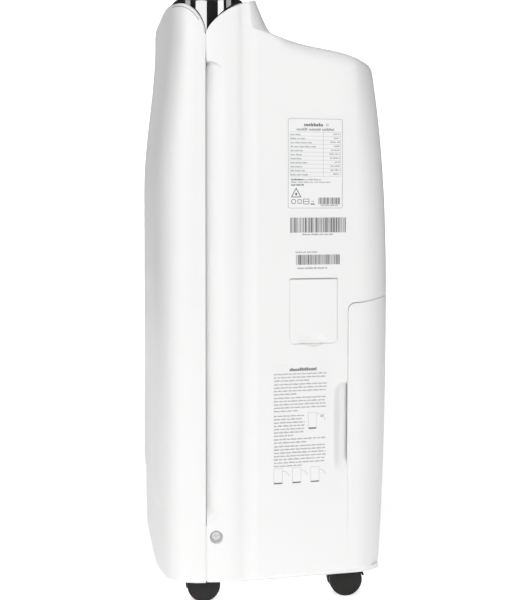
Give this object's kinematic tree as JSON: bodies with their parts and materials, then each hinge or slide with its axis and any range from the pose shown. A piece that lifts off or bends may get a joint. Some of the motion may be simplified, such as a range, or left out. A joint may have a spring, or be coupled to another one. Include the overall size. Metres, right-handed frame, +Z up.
{
  "type": "portable dehumidifier",
  "caption": "Tall rounded-box dehumidifier on twin-wheel casters, with a bowed front shell, top control deck, pull-out water tank and a hinged drain cover.",
  "frame": {"origin": "on the floor below the middle of the body", "axes": "+Z up, -Y towards the bowed front, +Y towards the water tank and air intake, +X towards the labelled side"},
  "size_m": [0.36, 0.246, 0.6176],
  "materials": {
    "shell_white": "gloss moulded",
    "deck_black": "piano black",
    "lens": "tinted",
    "grille_dark": "fine texture",
    "button_grey": "satin",
    "board_green": "solder mask",
    "label_paper": "printed film",
    "tank_clear": "translucent",
    "frame_steel": "galvanised",
    "fin_aluminium": "bright fins",
    "inner_grey": "moulded",
    "compressor_black": "satin enamel",
    "copper": "drawn tube",
    "rubber_dark": "moulded",
    "float_foam": "closed foam",
    "screw_steel": "zinc plated",
    "caster_black": "satin nylon",
    "mesh_grey": "woven mesh"
  },
  "bodies": {
    "cabinet": {"base_tray": "shell_white", "front_shell": "shell_white", "rear_shell": "shell_white", "control_deck": "deck_black", "display_lens": "lens", "outlet_grille": "grille_dark", "louver_motor": "frame_steel", "control_board": "board_green", "rating_label": "label_paper", "bar_sticker_upper": "label_paper", "bar_sticker_lower": "label_paper", "notice_label": "label_paper", "drain_spout": "inner_grey", "tank_switch": "inner_grey", "chassis_wall": "frame_steel", "evaporator": "fin_aluminium", "condenser": "fin_aluminium", "drip_tray": "inner_grey", "fan_scroll": "inner_grey", "fan_motor": "inner_grey", "compressor": "compressor_black", "compressor_feet": "rubber_dark", "accumulator": "compressor_black", "discharge_pipe": "copper", "suction_pipe": "copper", "capillary_drier": "copper", "electrical_box": "inner_grey", "run_capacitor": "fin_aluminium", "humidity_sensor": "inner_grey", "cord_gland": "rubber_dark", "case_screws": "screw_steel"},
    "louver": {"louver": "deck_black"},
    "drain_cover": {"drain_cover": "shell_white"},
    "drain_plug": {"drain_plug": "rubber_dark"},
    "tank": {"tank_bucket": "tank_clear", "tank_front": "shell_white", "tank_lid": "inner_grey"},
    "float": {"float_arm": "float_foam"},
    "intake_panel": {"intake_grille": "shell_white", "filter_screen": "mesh_grey"},
    "fan_wheel": {"fan_wheel": "inner_grey"},
    "button_power": {"button_power": "button_grey"},
    "button_mode": {"button_mode": "button_grey"},
    "button_fan": {"button_fan": "button_grey"},
    "button_timer": {"button_timer": "button_grey"},
    "button_level": {"button_level": "button_grey"},
    "swivel_front_right": {"caster_front_right": "caster_black"},
    "wheels_front_right": {"wheels_front_right": "caster_black"},
    "swivel_front_left": {"caster_front_left": "caster_black"},
    "wheels_front_left": {"wheels_front_left": "caster_black"},
    "swivel_rear_right": {"caster_rear_right": "caster_black"},
    "wheels_rear_right": {"wheels_rear_right": "caster_black"},
    "swivel_rear_left": {"caster_rear_left": "caster_black"},
    "wheels_rear_left": {"wheels_rear_left": "caster_black"}
  },
  "joints": [
    {"name": "louver_tilt", "type": "hinge", "parent": "cabinet", "child": "louver", "pos_m": [0, -0.0388, 0.6152], "axis": [-1, 0, 0], "range_deg": [0, 70]},
    {"name": "drain_cover_hinge", "type": "hinge", "parent": "cabinet", "child": "drain_cover", "pos_m": [0.16629, 0.03732, 0.3327], "axis": [0.1416, -0.9899, 0], "range_deg": [0, 100]},
    {"name": "drain_plug_pull", "type": "slide", "parent": "cabinet", "child": "drain_plug", "axis": [0.9899, 0.1416, 0], "range_m": [0, 0.008]},
    {"name": "tank_slide", "type": "slide", "parent": "cabinet", "child": "tank", "axis": [0, 1, 0], "range_m": [0, 0.2]},
    {"name": "float_hinge", "type": "hinge", "parent": "tank", "child": "float", "pos_m": [0, 0.06, 0.236], "axis": [1, 0, 0], "range_deg": [0, 25]},
    {"name": "intake_panel_pull", "type": "slide", "parent": "cabinet", "child": "intake_panel", "axis": [0, 1, 0], "range_m": [0, 0.12]},
    {"name": "fan_spin", "type": "hinge", "parent": "cabinet", "child": "fan_wheel", "pos_m": [0, 0, 0.438], "axis": [0, 1, 0], "continuous": true},
    {"name": "button_power_press", "type": "slide", "parent": "cabinet", "child": "button_power", "axis": [0, 0, -1], "range_m": [0, 0.001], "stiffness_N_per_m": 900},
    {"name": "button_mode_press", "type": "slide", "parent": "cabinet", "child": "button_mode", "axis": [0, 0, -1], "range_m": [0, 0.001], "stiffness_N_per_m": 900},
    {"name": "button_fan_press", "type": "slide", "parent": "cabinet", "child": "button_fan", "axis": [0, 0, -1], "range_m": [0, 0.001], "stiffness_N_per_m": 900},
    {"name": "button_timer_press", "type": "slide", "parent": "cabinet", "child": "button_timer", "axis": [0, 0, -1], "range_m": [0, 0.001], "stiffness_N_per_m": 900},
    {"name": "button_level_press", "type": "slide", "parent": "cabinet", "child": "button_level", "axis": [0, 0, -1], "range_m": [0, 0.001], "stiffness_N_per_m": 900},
    {"name": "swivel_front_right_turn", "type": "hinge", "parent": "cabinet", "child": "swivel_front_right", "pos_m": [0.127, -0.064, 0.045], "axis": [0, 0, 1], "continuous": true},
    {"name": "wheels_front_right_roll", "type": "hinge", "parent": "swivel_front_right", "child": "wheels_front_right", "pos_m": [0.127, -0.072, 0.017], "axis": [1, 0, 0], "continuous": true},
    {"name": "swivel_front_left_turn", "type": "hinge", "parent": "cabinet", "child": "swivel_front_left", "pos_m": [-0.127, -0.064, 0.045], "axis": [0, 0, 1], "continuous": true},
    {"name": "wheels_front_left_roll", "type": "hinge", "parent": "swivel_front_left", "child": "wheels_front_left", "pos_m": [-0.127, -0.072, 0.017], "axis": [1, 0, 0], "continuous": true},
    {"name": "swivel_rear_right_turn", "type": "hinge", "parent": "cabinet", "child": "swivel_rear_right", "pos_m": [0.127, 0.069, 0.045], "axis": [0, 0, 1], "continuous": true},
    {"name": "wheels_rear_right_roll", "type": "hinge", "parent": "swivel_rear_right", "child": "wheels_rear_right", "pos_m": [0.127, 0.077, 0.017], "axis": [1, 0, 0], "continuous": true},
    {"name": "swivel_rear_left_turn", "type": "hinge", "parent": "cabinet", "child": "swivel_rear_left", "pos_m": [-0.127, 0.069, 0.045], "axis": [0, 0, 1], "continuous": true},
    {"name": "wheels_rear_left_roll", "type": "hinge", "parent": "swivel_rear_left", "child": "wheels_rear_left", "pos_m": [-0.127, 0.077, 0.017], "axis": [1, 0, 0], "continuous": true}
  ]
}
